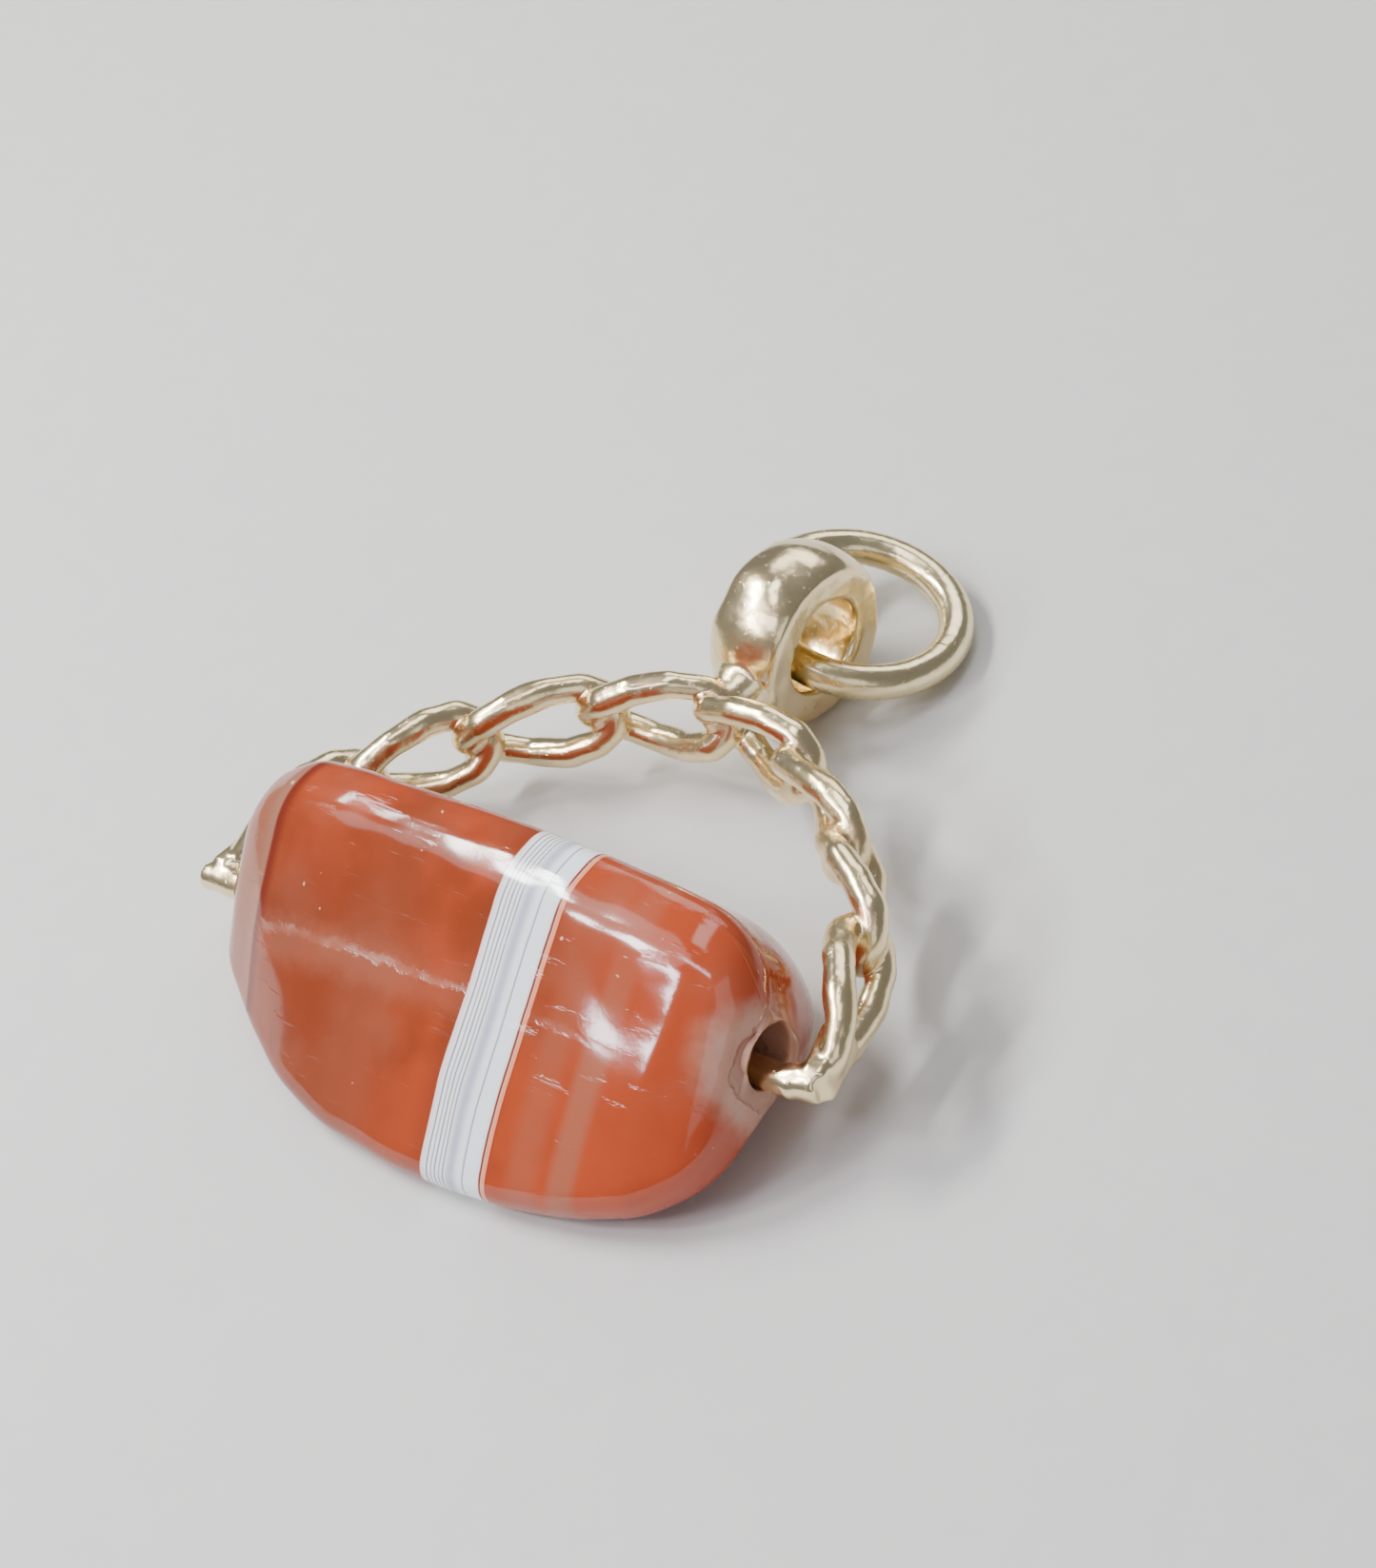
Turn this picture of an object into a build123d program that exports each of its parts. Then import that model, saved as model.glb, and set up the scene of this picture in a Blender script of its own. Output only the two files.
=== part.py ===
from build123d import *
import os
from math import cos, radians, sin, sqrt, tan

# A fob seal lying on its side: a drilled, three-sided agate turns on a pin between the feet of an arch of soldered
# curb links. A drilled bead is soldered to the outside of the arch's top and a plain wire ring hangs through it.
# Millimetres. X runs along the pin, Y from the pin towards the bead and Z up. The origin is on the surface that the
# agate rests on, under the middle of the pin. The arch lies a little tilted, with the pin's right end higher.

# Pin
pin_span = 24.6  # between the middles of the arch's two feet
pin_diameter = 0.95
pin_height = 3.0  # of the pin's axis over the surface, at its middle
pin_tail = 0.5  # how far the rod's end stands out past the middle of the left foot
pin_setback = 0.7  # how far its other end stays short of the middle of the right foot
pin_tilt = 2.6  # degrees that the arch and the pin rise towards the right

# Arch
arch_rise = 12.3  # from the pin's axis to the middle line of the arch at its top

# Joints between the links of the right half, from the arch's top to its foot; the left half mirrors them. Columns:
# shares of half the pin's span and of the arch's rise.
arch_joint_shares = (
    (0.000, 1.000),
    (0.336, 0.902),
    (0.628, 0.697),
    (0.850, 0.447),
    (0.980, 0.100),
)

# Curb links
link_wire = 0.88
link_width = 3.35
link_twist = 36.0  # degrees that each end of a link is turned out of the link's middle plane
link_bend = 0.75  # radius of the wire's line at the link's corners
solder_bite = 0.12  # how far the solder lets neighbouring links sink into each other
solder_drop = 1.15  # diameter of the drop of solder in the middle of each joint

# Corners of a quarter of a link's wire line, as shares of half its length and half its width
link_corner_shares = (
    (0.00, 1.00),
    (0.25, 1.00),
    (0.68, 0.82),
    (1.00, 0.36),
)

# Feet
foot_thickness = 0.85
foot_width = 1.35
foot_length = 2.1
foot_lift = 0.1  # how far up the arch from the pin's middle line the foot starts
foot_edge = 0.25
flare_length = 0.75  # of the cone, up to the foot, in which the pin widens and bends towards the arch
flare_diameter = 1.25
flare_rise = 0.35  # how much further up the arch than the pin's axis the cone ends

# Bead bail
bead_diameter = 6.35
bead_face_diameter = 5.5
bead_width = 2.75  # between the two flat faces
bead_hole_diameter = 3.3
bead_standoff = 4.17  # from the arch's top to the bead's middle, along Y
bead_shift = 0.17  # of the bead's middle to the right
bead_yaw = 6.0  # degrees that the bead's drilling is turned from the pin's direction, seen from above
bead_pitch = 6.5  # degrees that it dips towards its right-hand face
bead_edge = 0.18
neck_diameter = 1.5  # of the solder between the arch and the bead, where it leaves the arch
neck_top_diameter = 2.5

# Ring
ring_inner_diameter = 5.56
ring_wire = 1.22
ring_gap = 0.26  # between the ring's wire and the wall of the bead's hole, in the hole's middle
ring_skew = 10.0  # degrees that the ring lies steeper than the bead's drilling
ring_shift = 0.5  # from the hole's middle, along the drilling, to the ring's centre
ring_lean = 122.0  # degrees from the ring's own direction to where its wire lies in the hole
ring_seam = 0.06  # the slit where the ring's two ends meet
ring_seam_turn = 100.0  # degrees round the ring from the bead to the slit

# Stone
stone_length = 21.1
stone_height = 7.8
stone_front_reach = 7.3  # from under the pin to the front corner
slope_bulge = 0.4  # how far the front slope's middle stands out of a straight line between its corners
ridge_back_reach = 2.65  # from over the pin to the ridge's back corner
ridge_width = 1.75
ridge_slope = 0.03  # how much lower the ridge's front corner is than its back one
back_bulge = 0.76  # the same for the back face
stone_back_reach = 5.6
stone_hole_diameter = 2.1
stone_hole_edge = 0.15  # bevel of the hole's rims
pin_clearance = 0.05  # between the pin and the wall of the hole that rests on it
pin_rest_turn = 40.0  # degrees from straight up, towards the bead, of the hole's middle seen from the pin
flat_depth = 0.12  # how deep the resting face is ground

# Radii of the stone's corners at its middle
front_corner_radius = 0.9
slope_radius = 18.0
ridge_front_radius = 2.3
ridge_back_radius = 0.75
back_radius = 7.0
back_corner_radius = 1.3

# The stone's sections, from its left end to its right. Columns: place along the stone as a share of half its length,
# then the shares of the middle section's reach from the hole that the front corner, ridge and back corner have, how
# much larger the two lower corners' share of its depth below the hole is, and how much rounder its corners are than
# the middle section's at the same size.
stone_sections = (
    (-1.00, 0.36, 0.50, 0.44, 0.00, 1.10),
    (-0.96, 0.41, 0.67, 0.57, 0.00, 1.10),
    (-0.87, 0.51, 0.86, 0.73, 0.00, 1.10),
    (-0.72, 0.68, 1.00, 0.90, 0.00, 1.10),
    (-0.55, 0.83, 1.02, 0.97, 0.00, 1.05),
    (-0.30, 0.95, 1.01, 0.99, 0.00, 1.00),
    (0.00, 1.00, 1.00, 1.00, 0.00, 1.00),
    (0.33, 0.99, 0.96, 0.99, 0.01, 1.05),
    (0.58, 0.95, 0.91, 0.97, 0.03, 1.20),
    (0.76, 0.86, 0.87, 0.90, 0.09, 1.40),
    (0.88, 0.74, 0.77, 0.71, 0.15, 1.60),
    (0.96, 0.61, 0.60, 0.48, 0.18, 1.80),
    (1.00, 0.48, 0.42, 0.36, 0.16, 2.00),
)

# Places worked out from the sizes
hole_play = (stone_hole_diameter - pin_diameter) / 2 - pin_clearance
hole_height = pin_height + hole_play * cos(radians(pin_rest_turn))
hole_offset = hole_play * sin(radians(pin_rest_turn))
pin_direction = Vector(cos(radians(pin_tilt)), 0, sin(radians(pin_tilt)))
arch_top = Vector(0, arch_rise, pin_height)
bead_centre = Vector(bead_shift, arch_rise + bead_standoff, bead_diameter / 2)
ring_radius = (ring_inner_diameter + ring_wire) / 2


def arch_joints():
    """The joints between the right half's links, from its top down."""
    return [Vector(across * pin_span / 2, along * arch_rise, pin_height) for across, along in arch_joint_shares]


def mirrored(point):
    """The same place on the left half of the arch."""
    return Vector(-point.X, point.Y, point.Z)


def half_link_corners(half_length):
    """Corners of the wire's line round one end of a link, which is turned about the link's length as it nears it."""
    half_width = (link_width - link_wire) / 2
    corner_shares = link_corner_shares + tuple((along, -across) for along, across in reversed(link_corner_shares))
    corners = []
    for along, across in corner_shares:
        turn = radians(link_twist) * along
        reach = across * half_width
        corners.append((along * half_length, reach * cos(turn), -reach * sin(turn)))
    return corners


def link_plane(start, end):
    """A link's plane between two joints, taken from left to right: its X along the link and its Y up."""
    along = (end - start).normalized()
    inward = Vector(along.Y, -along.X, 0)
    return Plane(origin=(start + end) / 2, x_dir=along, z_dir=inward)


def foot_plane(joint, side):
    """A foot's plane: its middle on the pin's end, its Y towards the last link."""
    end = Vector(side * pin_span / 2, 0, pin_height)
    up_leg = (Vector(side * joint.X, joint.Y, joint.Z) - end).normalized()
    return Plane(origin=end, x_dir=(up_leg.Y, -up_leg.X, 0), z_dir=(0, 0, 1))


def hole_axes(dip):
    """The directions of a line through the bead at some dip, of level across it, and square to both."""
    yaw, pitch = radians(bead_yaw), radians(dip)
    drilling = Vector(cos(pitch) * cos(yaw), -cos(pitch) * sin(yaw), -sin(pitch))
    level = Vector(sin(yaw), cos(yaw), 0)
    return drilling, level, drilling.cross(level)


def ring_place(swing):
    """The ring's centre, outward direction and normal when it is swung down from level by some degrees."""
    drilling, level, upright = hole_axes(bead_pitch + ring_skew)
    outward = level * cos(radians(swing)) - upright * sin(radians(swing))
    normal = upright * cos(radians(swing)) + level * sin(radians(swing))
    lean = radians(ring_lean)
    play = (bead_hole_diameter - ring_wire) / 2 - ring_gap
    wire_in_hole = bead_centre + outward * (play * cos(lean)) - normal * (play * sin(lean))
    reach = sqrt(ring_radius**2 - ring_shift**2)
    return wire_in_hole + outward * reach + drilling * ring_shift, outward, normal


def ring_lowest(swing):
    """How high the ring's lowest point is above the surface."""
    centre, outward, normal = ring_place(swing)
    return centre.Z - ring_radius * sqrt(1 - normal.Z**2) - ring_wire / 2


def resting_swing():
    """The swing at which the ring comes down on the surface, found by halving."""
    high, low = -20.0, 60.0
    for _ in range(40):
        middle = (high + low) / 2
        if ring_lowest(middle) > 0:
            high = middle
        else:
            low = middle
    return high


def hole_centre(place):
    """The middle of the drilled hole where it crosses a section of the stone."""
    along = place * stone_length / 2
    return Vector(along, hole_offset, hole_height + along * tan(radians(pin_tilt)))


def bulged(low, high, bulge):
    """A point half way between two corners of a section, moved out to the left of the way from low to high."""
    across, height = high[0] - low[0], high[1] - low[1]
    length = sqrt(across**2 + height**2)
    return ((low[0] + high[0]) / 2 - height / length * bulge, (low[1] + high[1]) / 2 + across / length * bulge)


def fitting_radii(corners, radii):
    """The corners' radii, made smaller only where two neighbours would need more than the side between them."""
    corners = [Vector(*corner) for corner in corners]
    sides = [after - corner for corner, after in zip(corners, corners[1:] + corners[:1])]
    turns = [side.get_angle(before) for before, side in zip(sides[-1:] + sides[:-1], sides)]
    needs = [radius * tan(radians(turn) / 2) for radius, turn in zip(radii, turns)]
    rooms = [min(1, side.length * 0.99 / (a + b)) for side, a, b in zip(sides, needs, needs[1:] + needs[:1])]
    return [radius * min(before, after) for radius, before, after in zip(radii, rooms[-1:] + rooms[:-1], rooms)]


def stone_section(place, front, ridge, back, deeper, roundness):
    """One section of the stone about the hole: its six corners, then the radius at each."""
    slope_share = (front + ridge) / 2
    back_share = (ridge + back) / 2
    centre = hole_centre(place)

    def scaled(across, height, share, height_share):
        return centre.Y + (across - hole_offset) * share, centre.Z + (height - hole_height) * height_share

    front_corner = scaled(-stone_front_reach, -flat_depth, front, front + deeper)
    ridge_front = scaled(ridge_back_reach - ridge_width, stone_height - ridge_slope, ridge, ridge)
    ridge_back = scaled(ridge_back_reach, stone_height, ridge, ridge)
    back_corner = scaled(stone_back_reach, -flat_depth, back, back + deeper)
    slope_middle = bulged(front_corner, ridge_front, slope_bulge * slope_share)
    back_middle = bulged(ridge_back, back_corner, back_bulge * back_share)
    corners = [front_corner, back_corner, back_middle, ridge_back, ridge_front, slope_middle]
    radii = (
        front_corner_radius * front,
        back_corner_radius * back,
        back_radius * back_share,
        ridge_back_radius * ridge,
        ridge_front_radius * ridge,
        slope_radius * slope_share,
    )
    return corners, fitting_radii(corners, [radius * roundness for radius in radii])


def curb_link(start, end):
    """One twisted link between two joints, its wire swept round each end in turn."""
    half_length = ((end - start).length + link_wire - solder_bite) / 2
    with BuildPart() as link:
        for turn in (0, 180):
            with BuildLine(link_plane(start, end).rotated((0, 0, turn))) as wire_line:
                FilletPolyline(*half_link_corners(half_length), radius=link_bend)
            wire = wire_line.wire()
            with BuildSketch(Plane(origin=wire @ 0, z_dir=wire % 0)):
                Circle(link_wire / 2)
            sweep(path=wire)
    return link.part


def filed_foot(joint, side):
    """The filed block of metal in which the pin's end and the last link meet, and the pin's flare towards it."""
    plane = foot_plane(joint, side)
    with BuildPart(plane) as foot:
        with Locations((0, foot_lift, 0)):
            Box(foot_thickness, foot_length, foot_width, align=(Align.CENTER, Align.MIN, Align.CENTER))
        fillet(foot.edges(), foot_edge)
    flare_start = Vector(side * (pin_span / 2 - foot_thickness / 2 - flare_length), 0, pin_height)
    flare_run = Vector(side * pin_span / 2, flare_rise, pin_height) - flare_start
    with BuildPart(Plane(origin=flare_start, z_dir=flare_run)) as flare:
        Cone(pin_diameter / 2, flare_diameter / 2, flare_run.length, align=(Align.CENTER, Align.CENTER, Align.MIN))
    return foot.part + flare.part


joints = arch_joints()
left_to_right = [mirrored(joint) for joint in reversed(joints[1:])] + joints
links = [curb_link(start, end) for start, end in zip(left_to_right, left_to_right[1:])]
feet = [filed_foot(joints[-1], side) for side in (-1, 1)]

# Arch, laid out level: links, solder, feet and pin
with BuildPart() as level_arch:
    add(links[0])
    for before, joint, after, link in zip(left_to_right, left_to_right[1:], left_to_right[2:], links[1:]):
        with Locations(Plane(origin=joint, z_dir=after - before)):
            Sphere(solder_drop / 2)
        add(link)

    # Pin and feet
    with BuildSketch(Plane.YZ.offset(-pin_span / 2 - pin_tail)):
        with Locations((0, pin_height)):
            Circle(pin_diameter / 2)
    extrude(amount=pin_span + pin_tail - pin_setback)
    add(feet)

# The whole soldered piece: the arch, tilted about the line from the pin to the bead, and the bead on its neck
with BuildPart() as arch:
    add(level_arch.part.rotate(Axis((0, 0, pin_height), (0, 1, 0)), -pin_tilt))
    drilling, level, upright = hole_axes(bead_pitch)
    neck_run = bead_centre - arch_top
    with Locations(Plane(origin=arch_top, z_dir=neck_run)):
        neck_length = neck_run.length - bead_face_diameter / 2
        Cone(neck_diameter / 2, neck_top_diameter / 2, neck_length, align=(Align.CENTER, Align.CENTER, Align.MIN))
    with BuildSketch(Plane(origin=bead_centre, x_dir=level, z_dir=upright)) as bead_profile:
        with BuildLine():
            face_edge = Line((bead_hole_diameter / 2, bead_width / 2), (bead_face_diameter / 2, bead_width / 2))
            ThreePointArc(face_edge @ 1, (bead_diameter / 2, 0), (bead_face_diameter / 2, -bead_width / 2))
            Polyline(
                (bead_face_diameter / 2, -bead_width / 2),
                (bead_hole_diameter / 2, -bead_width / 2),
                (bead_hole_diameter / 2, bead_width / 2),
            )
        make_face()
        fillet(bead_profile.vertices(), bead_edge)
    revolve(axis=Axis(bead_centre, drilling))
    with BuildSketch(Plane(origin=bead_centre, x_dir=level, z_dir=drilling)):
        Circle(bead_hole_diameter / 2)
    extrude(amount=bead_width / 2, both=True, mode=Mode.SUBTRACT)

# Jump ring, cut through once where its ends meet
swing = resting_swing()
ring_centre, ring_outward, ring_normal = ring_place(swing)
with BuildPart() as ring:
    ring_line = ring_normal.cross(ring_outward)
    with BuildSketch(Plane(origin=ring_centre - ring_outward * ring_radius, x_dir=ring_outward, z_dir=ring_line)):
        Circle(ring_wire / 2)
    revolve(axis=Axis(ring_centre, ring_normal))
    with Locations(Plane(origin=ring_centre, x_dir=-ring_outward, z_dir=ring_normal).rotated((0, 0, ring_seam_turn))):
        Box(2 * ring_radius, ring_seam, 2 * ring_wire, align=(Align.MIN, Align.CENTER, Align.CENTER), mode=Mode.SUBTRACT)

# Stone, lofted through its sections, ground flat where it rests and drilled along the pin
with BuildPart() as stone:
    for section in stone_sections:
        corners, radii = stone_section(*section)
        with BuildSketch(Plane.YZ.offset(section[0] * stone_length / 2)):
            with BuildLine():
                FilletPolyline(*corners, radius=radii, close=True)
            make_face()
    loft()
    split(bisect_by=Plane.XY, keep=Keep.TOP)
    with BuildSketch(Plane(origin=hole_centre(0), z_dir=pin_direction)):
        Circle(stone_hole_diameter / 2)
    extrude(amount=stone_length, both=True, mode=Mode.SUBTRACT)
    for side in (-1, 1):
        with Locations(Plane(origin=hole_centre(side), z_dir=pin_direction * -side)):
            Cone(
                stone_hole_diameter / 2 + stone_hole_edge,
                stone_hole_diameter / 2,
                stone_hole_edge,
                align=(Align.CENTER, Align.CENTER, Align.MIN),
                mode=Mode.SUBTRACT,
            )

arch.part.label = "arch_frame"
ring.part.label = "jump_ring"
stone.part.label = "banded_stone"

os.makedirs("parts", exist_ok=True)
export_step(arch.part, "parts/arch_frame.step")
export_step(ring.part, "parts/jump_ring.step")
export_step(stone.part, "parts/banded_stone.step")
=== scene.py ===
# %% [markdown]
# # A fob seal with a banded agate barrel
#
# The real thing is a small gold swivel fob. A polished agate is drilled from end to end and turns on a pin. The
# pin joins the two feet of an arch of soldered curb links, and a drilled bead with a plain ring sits on the arch.
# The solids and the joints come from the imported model. This file gives them the look of worn gold and of polished
# stone, and shows them on a pale table. Blender counts in metres, and the sizes here are millimetres times MM.

from math import cos, pi, radians, sin

import bpy
import numpy as np
from mathutils import Matrix, Vector


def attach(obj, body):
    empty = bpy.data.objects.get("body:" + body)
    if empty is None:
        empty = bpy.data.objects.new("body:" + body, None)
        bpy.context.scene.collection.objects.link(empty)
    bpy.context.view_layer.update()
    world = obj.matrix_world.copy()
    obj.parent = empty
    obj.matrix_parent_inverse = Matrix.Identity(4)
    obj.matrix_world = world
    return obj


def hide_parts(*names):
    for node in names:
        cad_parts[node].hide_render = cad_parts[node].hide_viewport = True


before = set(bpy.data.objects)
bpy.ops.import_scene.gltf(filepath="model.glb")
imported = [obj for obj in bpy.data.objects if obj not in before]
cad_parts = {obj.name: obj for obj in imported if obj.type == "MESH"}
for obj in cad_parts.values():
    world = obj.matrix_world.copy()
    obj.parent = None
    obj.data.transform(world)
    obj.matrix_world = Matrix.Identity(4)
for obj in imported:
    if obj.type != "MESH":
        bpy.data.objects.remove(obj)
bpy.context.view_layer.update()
MM = 0.001
print("pieces from the model:", sorted(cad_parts))

# %% [markdown]
# ## Camera
#
# The picture looks down at the fob from the front right and is rolled, so that the pin runs downhill in it. A
# camera could be aimed with a Track To constraint or with three turned angles. Here it is a place and three
# directions, worked out from a bearing, a height above the table and a roll, and written straight into the
# camera's matrix. That is the form in which they were fitted to the picture, and it is easy to read back.

# %% Camera
BEARING = 48.9  # degrees that the camera stands to the right of straight in front
ELEVATION = 42.3  # degrees above the table
ROLL = 19.1  # degrees about the line of sight
TARGET = Vector((0.8, 9.3, 3.0)) * MM
DISTANCE = 108.4 * MM
SENSOR = 36.0
LENS = 3551 / 1647 * SENSOR  # the fitted focal length in pixels, over the picture's taller side


def camera_matrix(bearing, elevation, roll, target, distance):
    """Columns are right, up and back. Back points from the target to the camera, right is level, and the roll
    turns right towards down and up towards right."""
    turn, rise, tip = radians(bearing), radians(elevation), radians(roll)
    back = Vector((sin(turn) * cos(rise), -cos(turn) * cos(rise), sin(rise)))
    level = Vector((cos(turn), sin(turn), 0.0))
    above = back.cross(level)
    right = cos(tip) * level - sin(tip) * above
    up = sin(tip) * level + cos(tip) * above
    matrix = Matrix((right, up, back)).transposed().to_4x4()
    matrix.translation = target + back * distance
    return matrix


camera_data = bpy.data.cameras.new("camera")
camera_data.lens = LENS
camera_data.sensor_width = SENSOR
camera_data.sensor_fit = "AUTO"
camera_data.clip_start = 0.002
camera_data.clip_end = 10.0
camera = bpy.data.objects.new("camera", camera_data)
camera.matrix_world = camera_matrix(BEARING, ELEVATION, ROLL, TARGET, DISTANCE)
bpy.context.scene.collection.objects.link(camera)
bpy.context.scene.camera = camera
print("camera at", [round(v, 4) for v in camera.matrix_world.translation])

# %% [markdown]
# ## Shader maths
#
# The finishes are made of masks: a number between 0 and 1 at each point that says how much of a line, a stain or
# a scratch is there. Masks could be drawn as a web of nodes in the editor, but a long web is slow to read. So a
# small class wraps a node's socket and lets Python's own operators add the Math nodes, and a second class holds
# one material and the few kinds of mask that it needs.


# %% A socket that does sums
class Wire:
    """A value inside a material. Its sums add Math nodes to the same material."""

    def __init__(self, finish, socket):
        self.finish = finish
        self.socket = socket

    def maths(self, operation, *others):
        """Adds one Math node that takes this value and the others in turn."""
        return self.finish.node("ShaderNodeMath", {"operation": operation}, [self, *others])[0]

    def __add__(self, other):
        return self.maths("ADD", other)

    __radd__ = __add__

    def __sub__(self, other):
        return self.maths("SUBTRACT", other)

    def __rsub__(self, other):
        return self.finish.node("ShaderNodeMath", {"operation": "SUBTRACT"}, [other, self])[0]

    def __mul__(self, other):
        return self.maths("MULTIPLY", other)

    __rmul__ = __mul__

    def __truediv__(self, other):
        return self.maths("DIVIDE", other)

    def size(self):
        return self.maths("ABSOLUTE")

    def root(self):
        return self.maths("SQRT")


# %% One material
class Finish:
    """One material: its nodes are made by node(), and its surface is one Principled shader."""

    def __init__(self, name):
        self.material = bpy.data.materials.new(name)
        self.material.use_nodes = True
        self.tree = self.material.node_tree
        self.surface = self.tree.nodes["Principled BSDF"]
        places = self.node("ShaderNodeTexCoord", {}, [])
        metres = next(wire for wire in places if wire.socket.name == "Object")
        to_millimetres = {"Vector": metres, "Scale": 1 / MM}
        self.point = self.node("ShaderNodeVectorMath", {"operation": "SCALE"}, to_millimetres)[0]
        self.x, self.y, self.z = self.node("ShaderNodeSeparateXYZ", {}, [self.point])

    def node(self, kind, settings, inputs):
        """Adds a node of a kind, sets its settings and then its sockets, and returns its outputs as wires."""
        made = self.tree.nodes.new(kind)
        for key, value in settings.items():
            setattr(made, key, value)
        pairs = inputs.items() if isinstance(inputs, dict) else enumerate(inputs)
        for key, value in pairs:
            self.put(made.inputs[key], value)
        return [Wire(self, socket) for socket in made.outputs]

    def put(self, socket, value):
        """Links a wire to a socket, or sets the socket to a plain value."""
        if isinstance(value, Wire):
            self.tree.links.new(value.socket, socket)
        else:
            socket.default_value = value

    def set(self, **sockets):
        """Sets the surface's own sockets by name, with _ for a space."""
        for key, value in sockets.items():
            self.put(self.surface.inputs[key.replace("_", " ")], value)

    def ramp(self, value, low, high):
        """0 below low, 1 above high and an even curve between them. low may be above high, for a falling mask."""
        made = self.node(
            "ShaderNodeMapRange",
            {"interpolation_type": "SMOOTHSTEP"},
            {"Value": value, "From Min": low, "From Max": high},
        )
        return made[0]

    def line(self, value, middle, half_width, soft):
        """1 where value is within half_width of middle, falling to 0 over a soft edge on each side."""
        return self.ramp((value - middle).size(), half_width + soft, half_width)

    def noise(self, scale, detail=2.0, rough=0.5, stretch=(1.0, 1.0, 1.0), shift=(0.0, 0.0, 0.0)):
        """Cloudy noise about 0.5. scale is in lumps for each millimetre, and stretch lengthens the lumps."""
        vector = self.node(
            "ShaderNodeMapping",
            {},
            {"Vector": self.point, "Location": shift, "Scale": tuple(1.0 / s for s in stretch)},
        )[0]
        made = self.node(
            "ShaderNodeTexNoise",
            {"noise_dimensions": "3D"},
            {"Vector": vector, "Scale": scale, "Detail": detail, "Roughness": rough},
        )
        return made[0]

    def blend(self, share, first, second):
        """first where share is 0 and second where it is 1. Both are colours."""
        first, second = (c if isinstance(c, Wire) else (*c, 1.0) for c in (first, second))
        return self.node("ShaderNodeMix", {"data_type": "RGBA"}, {0: share, 6: first, 7: second})[2]

    def bump(self, height):
        """A normal tilted by a height in millimetres."""
        return self.node("ShaderNodeBump", {}, {"Height": height, "Distance": MM, "Strength": 1.0})[0]


print("finishes are made with", Wire.__name__, "and", Finish.__name__)

# %% [markdown]
# ## The stone's surface
#
# The agate was ground and polished by hand: a broad flat side, a long front slope, a narrow ridge along the top
# and rounded ends. It could be a block with a bevel and a few sculpted strokes, but then its outline would be hard
# to match. Here it is one closed surface of two parameters. One runs once round each section. The other runs along
# the outside from end to end and back through the drilled hole, so there are no poles to close. The corners of
# each section are shares of the middle one's, in a short table, and what lies between its rows is worked out.

# %% Stone sizes
STONE_LENGTH = 21.1
STONE_HEIGHT = 7.8
FLAT_DEPTH = 0.12  # the section is drawn this far below the table and then ground flat
FRONT_REACH, BACK_REACH = 7.3, 5.6
RIDGE_BACK, RIDGE_WIDTH, RIDGE_SLOPE = 2.65, 1.75, 0.03
SLOPE_BULGE, BACK_BULGE = 0.4, 0.76
# Radii of the corners at the front, the back, the back face's middle, the ridge's two edges and the slope's middle
CORNER_RADII = np.array([0.9, 1.3, 7.0, 0.75, 2.3, 18.0])
END_ROUNDING = 0.9  # radius of the turn from the outside to the ends
END_DOME = 0.16  # how far the middle of each end stands out
STONE_HOLE = 2.1
PIN_HEIGHT, PIN_DIAMETER, PIN_TILT = 3.0, 0.95, radians(2.6)
PIN_CLEARANCE = 0.05
PIN_REST_TURN = radians(40)  # from straight up, of the hole's middle seen from the pin that carries it
HOLE_PLAY = (STONE_HOLE - PIN_DIAMETER) / 2 - PIN_CLEARANCE
HOLE_MIDDLE = np.array([HOLE_PLAY * sin(PIN_REST_TURN), PIN_HEIGHT + HOLE_PLAY * cos(PIN_REST_TURN)])
print("hole's middle", HOLE_MIDDLE.round(3))

# %% Stone sections
# Columns: place along the stone, the shares of the front corner, the ridge and the back corner, how much larger the
# two lower corners' share of the depth below the hole is, and how much rounder the corners are.
SECTIONS = np.array(
    [
        (-1.00, 0.36, 0.50, 0.44, 0.00, 1.10),
        (-0.96, 0.41, 0.67, 0.57, 0.00, 1.10),
        (-0.87, 0.51, 0.86, 0.73, 0.00, 1.10),
        (-0.72, 0.68, 1.00, 0.90, 0.00, 1.10),
        (-0.55, 0.83, 1.02, 0.97, 0.00, 1.05),
        (-0.30, 0.95, 1.01, 0.99, 0.00, 1.00),
        (0.00, 1.00, 1.00, 1.00, 0.00, 1.00),
        (0.33, 0.99, 0.96, 0.99, 0.01, 1.05),
        (0.58, 0.95, 0.91, 0.97, 0.03, 1.20),
        (0.76, 0.86, 0.87, 0.90, 0.09, 1.40),
        (0.88, 0.74, 0.77, 0.71, 0.15, 1.60),
        (0.96, 0.61, 0.60, 0.48, 0.18, 1.80),
        (1.00, 0.48, 0.42, 0.36, 0.16, 2.00),
    ]
)
print("sections:", len(SECTIONS))


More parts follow.
